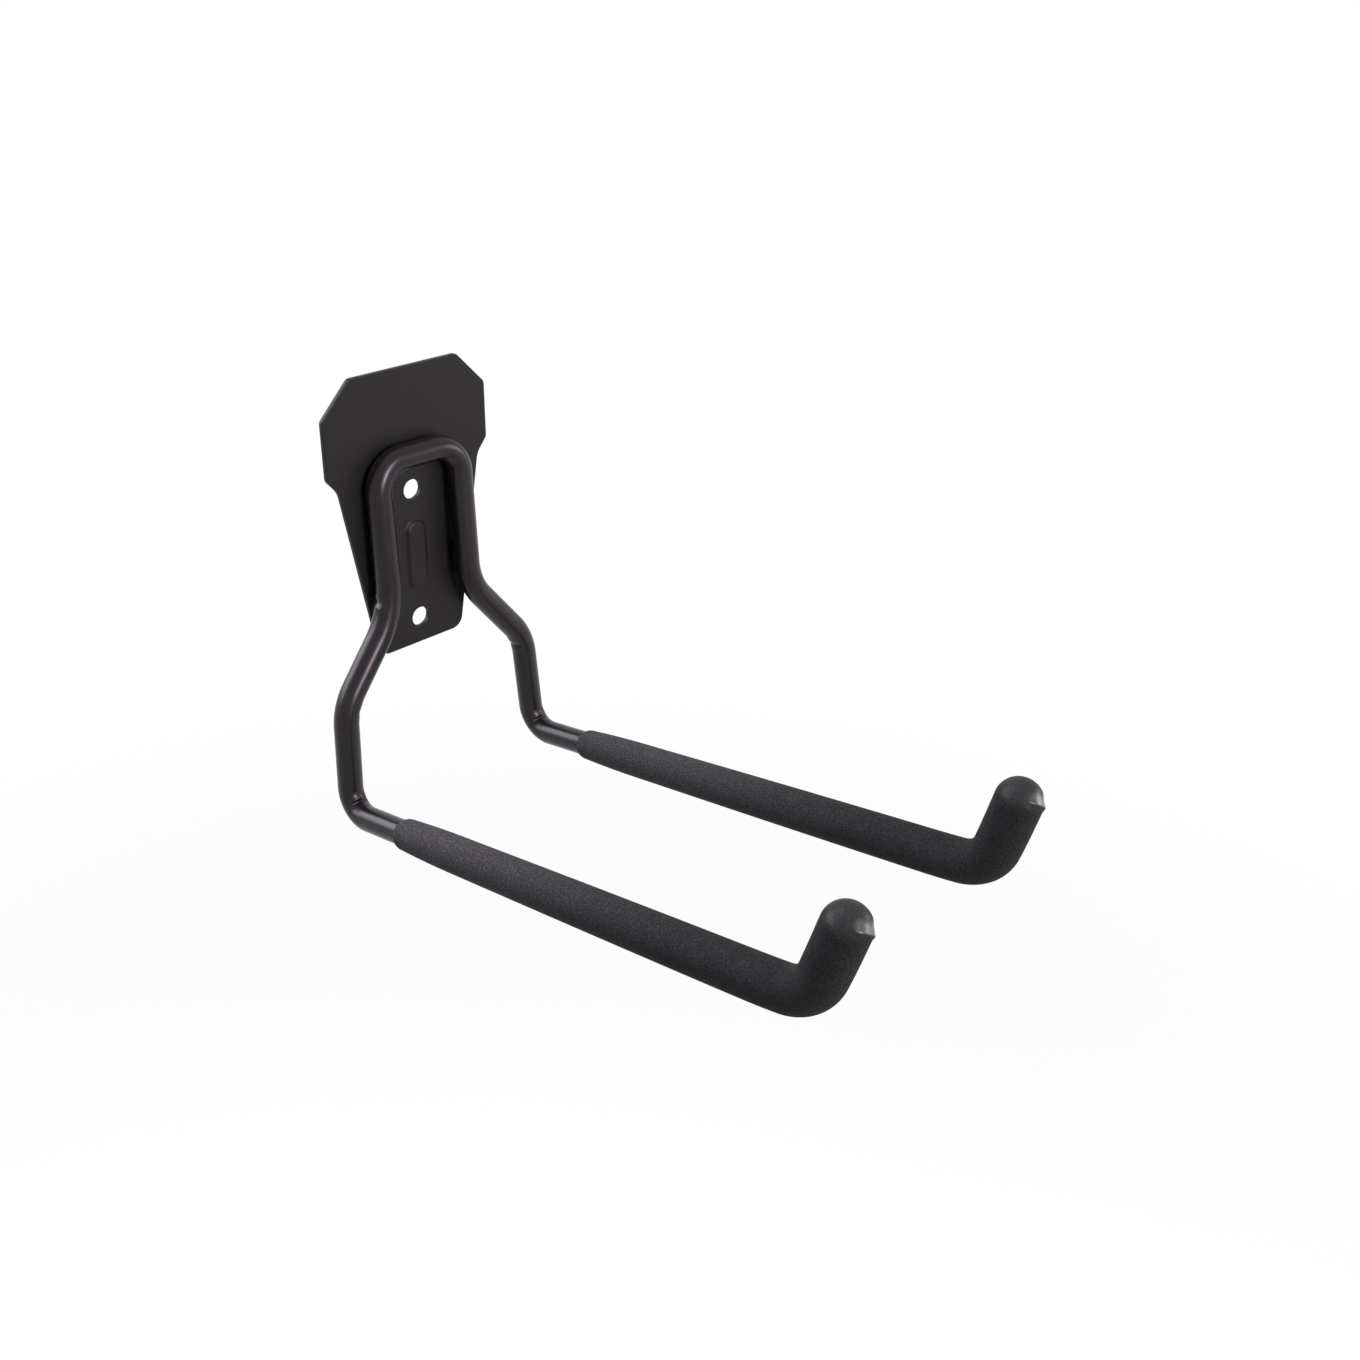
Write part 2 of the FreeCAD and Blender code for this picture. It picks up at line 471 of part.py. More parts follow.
def build_sleeve():
    body = new_body("sleeve_right")
    bore = size("bore_d") / 2

    # straight part, turned about the arm's axis: narrow open end, then a slight taper
    barrel = sketch_on(body, "barrel_profile", "YZ_Plane", ALONG_ARM)
    s0 = size("sleeve_start")
    s1 = s0 + size("mouth_len")
    s2 = size("arm_len") - size("elbow_lead")
    mouth, root, full = (size(n) / 2 for n in ("mouth_d", "root_d", "sleeve_d"))
    face = line(barrel, (s0, bore), (s0, mouth))
    taper = line(barrel, (s1, root), (s2, full))
    end = line(barrel, (s2, full), (s2, bore))
    inner = line(barrel, (s2, bore), (s0, bore))
    # the opening-out arc ends tangent to the taper
    slope = vec(s2 - s1, full - root).normalize()
    chord = vec(s0 - s1, mouth - root)
    swing = chord.Length / (2 * math.sin(slope.negative().getAngle(chord)))
    centre = vec(s1, root) + vec(slope.y, -slope.x) * swing
    a = math.atan2(root - centre.y, s1 - centre.x)
    b = math.atan2(mouth - centre.y, s0 - centre.x)
    arc = Part.ArcOfCircle(Part.Circle(centre, FreeCAD.Vector(0, 0, 1), swing), a, b)
    opening = barrel.addGeometry(arc, False)
    tie(barrel, "Coincident", face, 2, opening, 2)
    tie(barrel, "Tangent", opening, 1, taper, 1)
    tie(barrel, "Coincident", taper, 2, end, 1)
    tie(barrel, "Coincident", end, 2, inner, 1)
    tie(barrel, "Coincident", inner, 2, face, 1)
    tie(barrel, "Vertical", face)
    tie(barrel, "Vertical", end)
    tie(barrel, "Horizontal", inner)
    dim(barrel, "bore", "sizes.bore_d / 2", "DistanceY", *ORIGIN, face, 1, bore)
    dim(barrel, "start", "sizes.sleeve_start", "DistanceX", *ORIGIN, face, 1, s0)
    dim(barrel, "mouth", "sizes.mouth_d / 2", "DistanceY", *ORIGIN, face, 2, mouth)
    dim(barrel, "root_x", "sizes.sleeve_start + sizes.mouth_len", "DistanceX", *ORIGIN, taper, 1, s1)
    dim(barrel, "root_y", "sizes.root_d / 2", "DistanceY", *ORIGIN, taper, 1, root)
    dim(barrel, "end_x", "sizes.arm_len - sizes.elbow_lead", "DistanceX", *ORIGIN, taper, 2, s2)
    dim(barrel, "end_y", "sizes.sleeve_d / 2", "DistanceY", *ORIGIN, taper, 2, full)
    turned = body.newObject("PartDesign::Revolution", "barrel")
    turned.Profile = barrel
    turned.ReferenceAxis = (barrel, ["H_Axis"])
    body.Tip = turned
    doc.recompute()
    fillet(body, "mouth_lip", "sizes.mouth_r", ring(mouth))

    # end bend and tip at an even section, round the same bend as the tube
    elbow = sketch_on(body, "elbow_path", "YZ_Plane", ALONG_ARM)
    turn = math.radians(size("end_turn"))
    corner = size("arm_len")
    tip = (corner + size("tip_len") * math.cos(turn), -size("tip_len") * math.sin(turn))
    runs, points = bent_path(elbow, [(s2, 0), (corner, 0), tip], ("tip_r",))
    tie(elbow, "PointOnObject", *points[0], axis("H"))
    tie(elbow, "Horizontal", runs[0])
    dim(elbow, "corner", "sizes.arm_len", "DistanceX", *ORIGIN, *points[1], corner)
    run_length(elbow, points, 0, "lead", "sizes.elbow_lead", size("elbow_lead"))
    run_length(elbow, points, 1, "tip", "sizes.tip_len", size("tip_len"))
    run_angle(elbow, runs, 1, "tip_to", "-sizes.end_turn", -size("end_turn"))
    doc.recompute()
    rings = (("outside", "sizes.sleeve_d", 2 * full), ("inside", "sizes.bore_d", 2 * bore))
    sweep(body, "elbow", across(body, "elbow_ring", elbow, rings), elbow)

    # closed end, turned about the tip's axis: a full crown with a rounded rim
    cap = sketch_on(body, "end_profile", "YZ_Plane", ALONG_TIP)
    high, crown, rim = size("end_h"), size("crown_r"), size("end_r")
    centre = high - crown
    reach = full - rim
    rim_x = centre + math.sqrt((crown - rim) ** 2 - reach ** 2)
    touch = math.atan2(reach, rim_x - centre)
    up = FreeCAD.Vector(0, 0, 1)
    stem = line(cap, (0, 0), (high, 0))
    dome = cap.addGeometry(Part.ArcOfCircle(Part.Circle(vec(centre, 0), up, crown), 0, touch), False)
    edge = cap.addGeometry(Part.ArcOfCircle(Part.Circle(vec(rim_x, reach), up, rim), touch, math.pi / 2), False)
    side = line(cap, (rim_x, full), (0, full))
    base = line(cap, (0, full), (0, 0))
    tie(cap, "Coincident", stem, 1, *ORIGIN)
    tie(cap, "Horizontal", stem)
    tie(cap, "Coincident", stem, 2, dome, 1)
    tie(cap, "PointOnObject", dome, 3, axis("H"))
    tie(cap, "Tangent", dome, 2, edge, 1)
    tie(cap, "Tangent", edge, 2, side, 1)
    tie(cap, "Coincident", side, 2, base, 1)
    tie(cap, "Coincident", base, 2, stem, 1)
    tie(cap, "Horizontal", side)
    tie(cap, "Vertical", base)
    dim(cap, "high", "sizes.end_h", "DistanceX", *ORIGIN, stem, 2, high)
    dim(cap, "crown", "sizes.crown_r", "Radius", dome, crown)
    dim(cap, "rim", "sizes.end_r", "Radius", edge, rim)
    dim(cap, "wide", "sizes.sleeve_d / 2", "DistanceY", *ORIGIN, side, 2, full)
    closed = body.newObject("PartDesign::Revolution", "closed_end")
    closed.Profile = cap
    closed.ReferenceAxis = (cap, ["H_Axis"])
    body.Tip = closed
    doc.recompute()
    return body


def build():
    fill_sheet()
    right = build_sleeve()
    left = doc.addObject("Part::Mirroring", "sleeve_left")
    left.Label = "sleeve_left"
    left.Source = right
    left.Normal = FreeCAD.Vector(1, 0, 0)
    nodes = [build_plate(), build_tube(), right, left]
    doc.recompute()
    for item in doc.Objects:
        if "Invalid" in item.State or "Error" in item.State:
            raise RuntimeError("does not build: " + item.Name)
    os.makedirs("parts", exist_ok=True)
    for node in nodes:
        shape = node.Shape
        if not shape.isValid() or len(shape.Solids) != 1:
            raise RuntimeError("not one sound solid: " + node.Label)
        box = shape.BoundBox
        print(node.Label, "volume", round(shape.Volume, 1), "x", round(box.XMin, 2), round(box.XMax, 2),
              "y", round(box.YMin, 2), round(box.YMax, 2), "z", round(box.ZMin, 2), round(box.ZMax, 2))
        shape.exportStep("parts/" + node.Label + ".step")


build()
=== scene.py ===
import math

import bmesh
import bpy
import numpy as np
from mathutils import Matrix, Vector


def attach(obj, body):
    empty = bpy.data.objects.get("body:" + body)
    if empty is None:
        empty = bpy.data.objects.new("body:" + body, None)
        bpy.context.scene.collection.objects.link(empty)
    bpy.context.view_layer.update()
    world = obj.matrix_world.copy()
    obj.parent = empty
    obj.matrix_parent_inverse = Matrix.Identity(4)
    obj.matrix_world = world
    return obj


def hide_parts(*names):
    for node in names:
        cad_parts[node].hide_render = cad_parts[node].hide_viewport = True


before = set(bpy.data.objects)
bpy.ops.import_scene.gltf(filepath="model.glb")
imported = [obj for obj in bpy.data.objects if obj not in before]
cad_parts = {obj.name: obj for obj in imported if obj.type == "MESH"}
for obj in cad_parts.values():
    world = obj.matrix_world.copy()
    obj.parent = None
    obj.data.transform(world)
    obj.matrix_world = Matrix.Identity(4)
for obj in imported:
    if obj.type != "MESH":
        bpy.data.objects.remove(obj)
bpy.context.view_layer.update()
scene = bpy.context.scene
scene.view_settings.view_transform = "Standard"
mm = 0.001
print("frame loaded")


# camera, from the photograph's own perspective
cameraFit = {
    "spot": (-324.92, -444.60, 228.26),     # mm
    "azimuth": -44.848,
    "elevation": 25.337,
    "roll": -0.182,
    "focal": 1476.507,                      # in pixels of the photograph
    "middle": (622.186, 618.815),           # the pixel on the lens's axis
    "frame": 1360,                          # pixels across
    "sensor": 36.0,                         # mm
    "clip": (0.01, 50.0),                   # m
}


def directionTo(azimuth, elevation):
    # from the part towards something round it, in degrees; 0, 0 is straight in front
    a, e = math.radians(azimuth), math.radians(elevation)
    return Vector((math.sin(a) * math.cos(e), -math.cos(a) * math.cos(e), math.sin(e)))


def makeCamera(fit):
    azimuth, roll = math.radians(fit["azimuth"]), math.radians(fit["roll"])
    back = directionTo(fit["azimuth"], fit["elevation"])
    right = Vector((math.cos(azimuth), math.sin(azimuth), 0))
    up = back.cross(right)
    side = right * math.cos(roll) + up * math.sin(roll)
    top = up * math.cos(roll) - right * math.sin(roll)
    width, middle = fit["frame"], fit["middle"]
    data = bpy.data.cameras.new("photoCamera")
    data.sensor_width = fit["sensor"]
    data.lens = fit["sensor"] * fit["focal"] / width
    data.shift_x = (width / 2 - middle[0]) / width
    data.shift_y = (middle[1] - width / 2) / width
    data.clip_start, data.clip_end = fit["clip"]
    camera = bpy.data.objects.new("photoCamera", data)
    turn = Matrix((side, top, back)).transposed().to_4x4()
    camera.matrix_world = Matrix.Translation(Vector(fit["spot"]) * mm) @ turn
    scene.collection.objects.link(camera)
    scene.camera = camera


makeCamera(cameraFit)
print("camera set")


# small mesh tools
def showMesh(name, mesh, material):
    for poly in mesh.polygons:
        poly.use_smooth = True
    mesh.materials.append(material)
    piece = bpy.data.objects.new(name, mesh)
    scene.collection.objects.link(piece)
    return piece


def meshObject(name, verts, faces, material):
    mesh = bpy.data.meshes.new(name)
    mesh.from_pydata([tuple(v) for v in verts], [], faces)
    mesh.validate()
    mesh.update()
    return showMesh(name, mesh, material)


def unit(v):
    return v / np.linalg.norm(v)


def bentRoute(corners, radii):
    # straight runs and tangent bends through corner points
    points = [np.array(c, float) for c in corners]
    parts, last = [], points[0]
    for i, r in enumerate(radii, start=1):
        arriving, leaving = unit(points[i] - points[i - 1]), unit(points[i + 1] - points[i])
        turn = math.acos(float(np.clip(arriving @ leaving, -1, 1)))
        lead = r * math.tan(turn / 2)
        start = points[i] - arriving * lead
        inward = unit(leaving - arriving * (arriving @ leaving))
        parts.append({"kind": "run", "from": last, "to": start})
        parts.append({"kind": "bend", "from": start, "dir": arriving, "in": inward, "r": r, "turn": turn})
        last = points[i] + leaving * lead
    parts.append({"kind": "run", "from": last, "to": points[-1]})
    return parts


def sampleRoute(parts, steps):
    # points, directions and distances along a route; steps gives the spacing of each part
    points, dirs, marks, bends, s = [], [], [], [], 0.0
    for part, step in zip(parts, steps):
        start = part["from"]
        if part["kind"] == "run":
            length = float(np.linalg.norm(part["to"] - start))
            way = unit(part["to"] - start)
        else:
            way, inward, turn, r = part["dir"], part["in"], part["turn"], part["r"]
            length = r * turn
            centre = start + inward * r
            bends.append({"s": s, "length": length, "in": inward, "dir": way, "turn": turn})
        count = max(1, round(length / step))
        for k in range(0 if not points else 1, count + 1):
            t = k / count
            if part["kind"] == "run":
                points.append(start + way * length * t)
                dirs.append(way)
            else:
                a = turn * t
                points.append(centre - inward * r * math.cos(a) + way * r * math.sin(a))
                dirs.append(way * math.cos(a) + inward * math.sin(a))
            marks.append(s + length * t)
        s += length
    return np.array(points), np.array(dirs), np.array(marks), bends


def carryFrames(dirs, first):
    # frames along a route that don't twist
    normals = [unit(first - dirs[0] * (first @ dirs[0]))]
    for d in dirs[1:]:
        n = normals[-1]
        normals.append(unit(n - d * (n @ d)))
    normals = np.array(normals)
    return normals, np.cross(dirs, normals)


def ringRays(dirs, around):
    # from each point of a route, the directions of the mesh points in its ring
    normals, sides = carryFrames(dirs, np.array((0.0, 0.0, 1.0)))
    angles = np.linspace(0, 2 * math.pi, around, endpoint=False)
    cosines, sines = np.cos(angles)[None, :, None], np.sin(angles)[None, :, None]
    return normals[:, None, :] * cosines + sides[:, None, :] * sines


def innerSide(bend, marks, rays):
    # how much each ray points to the bend's inner side, and how far through the bend each ring is
    share = (marks - bend["s"]) / bend["length"]
    a = np.clip(share, 0, 1) * bend["turn"]
    inward = bend["in"][None, :] * np.cos(a)[:, None] - bend["dir"][None, :] * np.sin(a)[:, None]
    return np.einsum("ijk,ik->ij", rays, inward), share


def ringFaces(rings, around):
    faces = []
    for i in range(rings - 1):
        low, high = i * around, (i + 1) * around
        for j in range(around):
            k = (j + 1) % around
            faces.append((low + j, low + k, high + k, high + j))
    return faces


def cappedFaces(rings, around):
    # rings with a flat cap at each end
    last = (rings - 1) * around
    caps = [tuple(reversed(range(around))), tuple(range(last, last + around))]
    return ringFaces(rings, around) + caps


def smoothStep(x, low, high):
    t = np.clip((x - low) / (high - low), 0, 1)
    return t * t * (3 - 2 * t)


# the tube's middle line, in mm and degrees, with the right side worked out and the left side mirrored
hook = {
    "top": (19.6, -6.75, 43.6),             # the loop's corner
    "lean": 2.75,                           # loop, flare and lower legs, away from the plate
    "legLen": 60.0,
    "flareTurn": 39.0,
    "flareLen": 41.5,
    "shinSplay": 3.5,
    "shinLen": 45.6,
    "armTilt": 9.57,
    "armLen": 232.3,
    "tipLean": 15.7,
    "tipLen": 31.0,
    "radii": {"top": 12.0, "flare": 38.0, "knee": 25.0, "heel": 10.5, "bend": 20.0},
    "rightRadii": {"flare": 27.0},          # bent tighter than on the left
}
cornerOrder = ("top", "flare", "knee", "heel", "bend", "tip")


def hookCorners(sizes):
    # each run goes on from the last corner: down the leaning frame, then out in the arm's own plane
    turns = ("lean", "flareTurn", "shinSplay", "armTilt", "tipLean")
    lean, flare, splay, tilt, tip = (math.radians(sizes[k]) for k in turns)
    roll = math.atan(math.tan(splay) / math.cos(lean))
    side, out = np.array((1.0, 0.0, 0.0)), np.array((0.0, -1.0, 0.0))
    down = np.array((0.0, -math.sin(lean), -math.cos(lean)))
    up = np.array((-math.sin(roll), 0.0, math.cos(roll)))
    runs = (
        sizes["legLen"] * down,
        sizes["flareLen"] * (side * math.sin(flare) + down * math.cos(flare)),
        sizes["shinLen"] * (side * math.sin(splay) + down * math.cos(splay)),
        sizes["armLen"] * (out * math.cos(tilt) + up * math.sin(tilt)),
        sizes["tipLen"] * (out * math.sin(tip) + up * math.cos(tip)),
    )
    corners = np.cumsum((np.array(sizes["top"]), *runs), axis=0)
    return dict(zip(cornerOrder, corners))


def mirrored(p):
    return (-p[0], p[1], p[2])


hookAt = hookCorners(hook)


# shader node tools
skinOutputs = {"Color": "NodeSocketColor", "Roughness": "NodeSocketFloat", "Normal": "NodeSocketVector"}
mixSockets = {"FLOAT": (2, 3, 0), "RGBA": (6, 7, 2)}    # a mix node's two inputs and its output


def feed(tree, socket, value):
    # links another node's output, or sets a plain value
    if isinstance(value, bpy.types.NodeSocket):
        tree.links.new(value, socket)
    else:
        socket.default_value = value


def addNode(tree, kind, **values):
    # each value sets a property of the node or feeds its input of that name
    made = tree.nodes.new(kind)
    for key, value in values.items():
        if key in made.bl_rna.properties:
            setattr(made, key, value)
        else:
            feed(tree, made.inputs[key], value)
    return made


def mathNode(tree, operation, *values):
    made = addNode(tree, "ShaderNodeMath", operation=operation)
    for socket, value in zip(made.inputs, values):
        feed(tree, socket, value)
    return made.outputs[0]


def mixed(tree, kind, factor, first, second, **values):
    low, high, result = mixSockets[kind]
    made = addNode(tree, "ShaderNodeMix", data_type=kind, **values)
    for place, value in ((0, factor), (low, first), (high, second)):
        feed(tree, made.inputs[place], value)
    return made.outputs[result]


def mapRange(tree, value, before=(0.0, 1.0), after=(0.0, 1.0), kind="LINEAR"):
    made = addNode(tree, "ShaderNodeMapRange", interpolation_type=kind, Value=value)
    made.inputs["From Min"].default_value, made.inputs["From Max"].default_value = before
    made.inputs["To Min"].default_value, made.inputs["To Max"].default_value = after
    return made.outputs[0]


def mixShaders(tree, factor, first, second):
    made = addNode(tree, "ShaderNodeMixShader")
    for socket, value in zip(made.inputs, (factor, first, second)):
        tree.links.new(value, socket)
    return made.outputs[0]


def newGroup(name, colors, numbers):
    # a skin's node group, with what is given to it and what it shows
    group = bpy.data.node_groups.new(name, "ShaderNodeTree")
    for kind, labels in (("NodeSocketColor", colors), ("NodeSocketFloat", numbers)):
        for label in labels:
            group.interface.new_socket(name=label, in_out="INPUT", socket_type=kind)
    for label, kind in skinOutputs.items():
        group.interface.new_socket(name=label, in_out="OUTPUT", socket_type=kind)
    return group, group.nodes.new("NodeGroupInput").outputs, group.nodes.new("NodeGroupOutput").inputs


# patterns of the two skins, with heights in m
coatPattern = {
    "slow": {"Scale": 38.0, "Detail": 3.0, "Roughness": 0.55},
    "peel": {"Detail": 2.0, "Roughness": 0.5},
    "peelHeight": 0.0002,
    "roughnessSpread": 0.08,
}
foamPattern = {
    "slow": {"Scale": 130.0, "Detail": 4.0, "Roughness": 0.6},
    "cells": {"Detail": 3.0, "Roughness": 0.65},
    "cellHeight": 0.0004,
    "pores": (0.36, 0.5),                   # noise levels from pore to skin
    "walls": (0.52, 0.68),                  # and from skin to cell wall
    "mottle": (0.82, 1.18),
    "relief": 1.15,                         # less 1 where the foam was sealed
}


def makeCoatGroup(pattern):
    # sprayed coat: soft orange peel and slow changes of tone
    group, given, shown = newGroup("sprayedCoat", ("Color", "Shade"), ("Roughness", "Peel Size", "Peel"))
    place = addNode(group, "ShaderNodeTexCoord").outputs["Object"]
    slow = addNode(group, "ShaderNodeTexNoise", Vector=place, **pattern["slow"]).outputs["Fac"]
    noise = addNode(group, "ShaderNodeTexNoise", Vector=place, Scale=given["Peel Size"], **pattern["peel"])
    bump = addNode(group, "ShaderNodeBump", Distance=pattern["peelHeight"], Strength=given["Peel"],
                   Height=noise.outputs["Fac"])
    roughness = mathNode(group, "MULTIPLY_ADD", slow, pattern["roughnessSpread"], given["Roughness"])
    feed(group, shown["Color"], mixed(group, "RGBA", slow, given["Shade"], given["Color"]))
    feed(group, shown["Roughness"], roughness)
    feed(group, shown["Normal"], bump.outputs["Normal"])
    return group


def makeFoamGroup(pattern):
    # closed-cell foam skin: small pores, paler cell walls and a slow mottle; smooth where it was sealed.
    # The tone input is painted shade that darkens the sleeve towards the tip
    group, given, shown = newGroup(
        "foamSkin",
        ("Color", "Pore", "Wall"),
        ("Cell Size", "Depth", "Roughness", "Smoothed", "Painted Tip Shade", "Sealed"),
    )
    place = addNode(group, "ShaderNodeTexCoord").outputs["Object"]
    slow = addNode(group, "ShaderNodeTexNoise", Vector=place, **pattern["slow"]).outputs["Fac"]
    noise = addNode(group, "ShaderNodeTexNoise", Vector=place, Scale=given["Cell Size"], **pattern["cells"])
    cells, sealed = noise.outputs["Fac"], given["Sealed"]
    dark = mixed(group, "RGBA", mapRange(group, cells, pattern["pores"]), given["Pore"], given["Color"])
    pale = mixed(group, "RGBA", mapRange(group, cells, pattern["walls"]), dark, given["Wall"])
    closed = mixed(group, "RGBA", sealed, pale, given["Color"])
    # painted shade: the slow mottle is scaled down towards the tip, standing in for the light falling off
    # there
    mottleAndTipShade = mathNode(group, "MULTIPLY", mapRange(group, slow, after=pattern["mottle"]), given["Painted Tip Shade"])
    unsealed = mathNode(group, "SUBTRACT", pattern["relief"], sealed)
    relief = mathNode(group, "MULTIPLY", unsealed, given["Depth"])
    bump = addNode(group, "ShaderNodeBump", Distance=pattern["cellHeight"], Strength=relief, Height=cells)
    feed(group, shown["Color"], mixed(group, "RGBA", 1.0, closed, mottleAndTipShade, blend_type="MULTIPLY"))
    feed(group, shown["Roughness"], mixed(group, "FLOAT", sealed, given["Roughness"], given["Smoothed"]))
    feed(group, shown["Normal"], bump.outputs["Normal"])
    return group


def newMaterial(name):
    material = bpy.data.materials.new(name)
    material.use_nodes = True
    tree = material.node_tree
    return material, tree, tree.nodes["Principled BSDF"]


def skinMaterial(name, group, look):
    material, tree, shader = newMaterial(name)
    skin = addNode(tree, "ShaderNodeGroup", node_tree=group)
    for made, values in ((skin, look["skin"]), (shader, look["shader"])):
        for key, value in values.items():
            made.inputs[key].default_value = value
    for shown, place in (("Color", "Base Color"), ("Roughness", "Roughness"), ("Normal", "Normal")):
        tree.links.new(skin.outputs[shown], shader.inputs[place])
    return material, tree, shader, skin


def coatMaterial(name, look):
    return skinMaterial(name, coatGroup, look)[0]


def foamMaterial(name, look):
    # the meshes carry two marks: how far along the sleeve, which drives the painted shade towards the tip,
    # and where its end was sealed
    material, tree, shader, skin = skinMaterial(name, foamGroup, look)
    reach = addNode(tree, "ShaderNodeAttribute", attribute_name="reach").outputs["Fac"]
    sealed = addNode(tree, "ShaderNodeAttribute", attribute_name="sealed").outputs["Fac"]
    # painted shade: the foam's colour is darkened from the open end towards the tip
    shadeTowardsTip = mapRange(tree, reach, look["tipShadeReach"], look["tipShadeLevels"], "SMOOTHSTEP")
    tree.links.new(shadeTowardsTip, skin.inputs["Painted Tip Shade"])
    tree.links.new(sealed, skin.inputs["Sealed"])
    tree.links.new(sealed, shader.inputs["Coat Weight"])
    return material


plateLook = {
    "skin": {"Color": (0.0080, 0.0073, 0.0076, 1), "Shade": (0.0067, 0.0060, 0.0063, 1),
             "Roughness": 0.40, "Peel Size": 1400.0, "Peel": 0.02},
    "shader": {"Specular IOR Level": 0.155, "Specular Tint": (0.96, 0.90, 1.0, 1)},
}
tubeLook = {
    "skin": {"Color": (0.0056, 0.0047, 0.0048, 1), "Shade": (0.0043, 0.0037, 0.0038, 1),
             "Roughness": 0.25, "Peel Size": 700.0, "Peel": 0.008},
    "shader": {"Specular IOR Level": 0.27, "Specular Tint": (0.99, 0.89, 1.0, 1)},
}
foamLook = {
    "skin": {"Color": (0.0290, 0.0272, 0.0300, 1), "Pore": (0.017, 0.016, 0.0175, 1),
             "Wall": (0.053, 0.050, 0.055, 1), "Cell Size": 1500.0, "Depth": 0.4,
             "Roughness": 0.75, "Smoothed": 0.5},
    "shader": {"Specular IOR Level": 0.06, "Coat Roughness": 0.35, "Coat IOR": 1.5},
    "tipShadeReach": (0.0, 0.72),               # share of the sleeve over which the painted shade deepens
    "tipShadeLevels": (1.0, 0.39),                   # painted shade: full colour at the open end, darker towards the tip where less light falls
}
coatGroup = makeCoatGroup(coatPattern)
foamGroup = makeFoamGroup(foamPattern)
plateCoat = coatMaterial("plateCoat", plateLook)
tubeCoat = coatMaterial("tubeCoat", tubeLook)
sleeveFoam = foamMaterial("sleeveFoam", foamLook)
print("materials made")


# wall plate, pressed from sheet, in mm
plate = {
    "outline": [(25.2, 76.7), (38.5, 63.0), (38.5, 40.1), (33.6, 34.3), (20.65, -38.5)],
    "rounding": [3.0, 3.0, 3.0, 9.0, 5.5],
    "sheet": 2.0,
    "frontRoll": 0.5,
    "backRoll": 0.14,
    "rollMiddle": 0.3,                      # where the back roll's middle lies, as a share of it
    "holes": (27.4, -27.4),
    "holeR": 4.05,
    "holeRoll": 0.3,
    "ribHigh": 1.2,
    "rib": {"halfW": 5.4, "halfL": 15.4, "slope": 2.2},
    "recess": {"halfW": 3.4, "halfL": 13.7, "slope": 1.76},
    "points": {"corner": 14, "frontRoll": 7, "hole": 64, "holeRoll": 6, "slotEnd": 24, "slope": 13},
    "normalWeight": 100,
}


def roundCorners(corners, radii, steps):
    out, n = [], len(corners)
    for i in range(n):
        before, corner, after = (np.array(corners[k % n], float) for k in (i - 1, i, i + 1))
        arriving, leaving = unit(corner - before), unit(after - corner)
        cross = arriving[0] * leaving[1] - arriving[1] * leaving[0]
        turn = math.acos(float(np.clip(arriving @ leaving, -1, 1)))
        lead = radii[i] * math.tan(turn / 2)
        normal = np.array((-arriving[1], arriving[0])) * (1 if cross > 0 else -1)
        start = corner - arriving * lead
        centre = start + normal * radii[i]
        for k in range(steps + 1):
            a = turn * k / steps
            out.append(centre - normal * radii[i] * math.cos(a) + arriving * radii[i] * math.sin(a))
    return np.array(out)


def insetLoop(loop, d):
    # moves a closed clockwise loop inwards
    before, after = np.roll(loop, 1, 0), np.roll(loop, -1, 0)
    arriving, leaving = loop - before, after - loop
    arriving /= np.linalg.norm(arriving, axis=1)[:, None]
    leaving /= np.linalg.norm(leaving, axis=1)[:, None]
    arrivingNormal = np.stack((arriving[:, 1], -arriving[:, 0]), 1)
    leavingNormal = np.stack((leaving[:, 1], -leaving[:, 0]), 1)
    normal = arrivingNormal + leavingNormal
    normal /= np.linalg.norm(normal, axis=1)[:, None]
    return loop + normal * (d / np.sum(normal * arrivingNormal, axis=1))[:, None]


def slotLoop(halfW, halfL, steps):
    # upright slot, clockwise
    straight = halfL - halfW
    angles = np.linspace(0, math.pi, steps)
    top = [(-halfW * math.cos(a), straight + halfW * math.sin(a)) for a in angles]
    low = [(halfW * math.cos(a), -straight - halfW * math.sin(a)) for a in angles]
    return np.array(top + low)


def circleLoop(r, z, steps):
    angles = np.linspace(0, 2 * math.pi, steps, endpoint=False)
    return np.array([(-r * math.cos(a), z + r * math.sin(a)) for a in angles])


def addLoop(bm, loop, y):
    return [bm.verts.new((p[0] * mm, y * mm, p[1] * mm)) for p in loop]


def bridgeLoops(bm, loops):
    for low, high in zip(loops, loops[1:]):
        n = len(low)
        for i in range(n):
            bm.faces.new((low[i], low[(i + 1) % n], high[(i + 1) % n], high[i]))


def fillBetween(bm, loops, way):
    edges = []
    for loop in loops:
        for a, b in zip(loop, loop[1:] + loop[:1]):
            edges.append(bm.edges.get((a, b)) or bm.edges.new((a, b)))
    bmesh.ops.triangle_fill(bm, use_beauty=True, edges=edges, normal=way)


def pressSlot(bm, sizes, slot, y, way):
    # the sloping sides and the flat of the rib, or of the recess behind it; returns the loop at its foot
    rings = []
    for k in np.linspace(0, 1, sizes["points"]["slope"]):
        inset, rise = slot["slope"] * k, 0.5 - 0.5 * math.cos(math.pi * k)
        loop = slotLoop(slot["halfW"] - inset, slot["halfL"] - inset, sizes["points"]["slotEnd"])
        rings.append(addLoop(bm, loop, y - sizes["ribHigh"] * rise))
    bridgeLoops(bm, rings)
    fillBetween(bm, [rings[-1]], way)
    return rings[0]


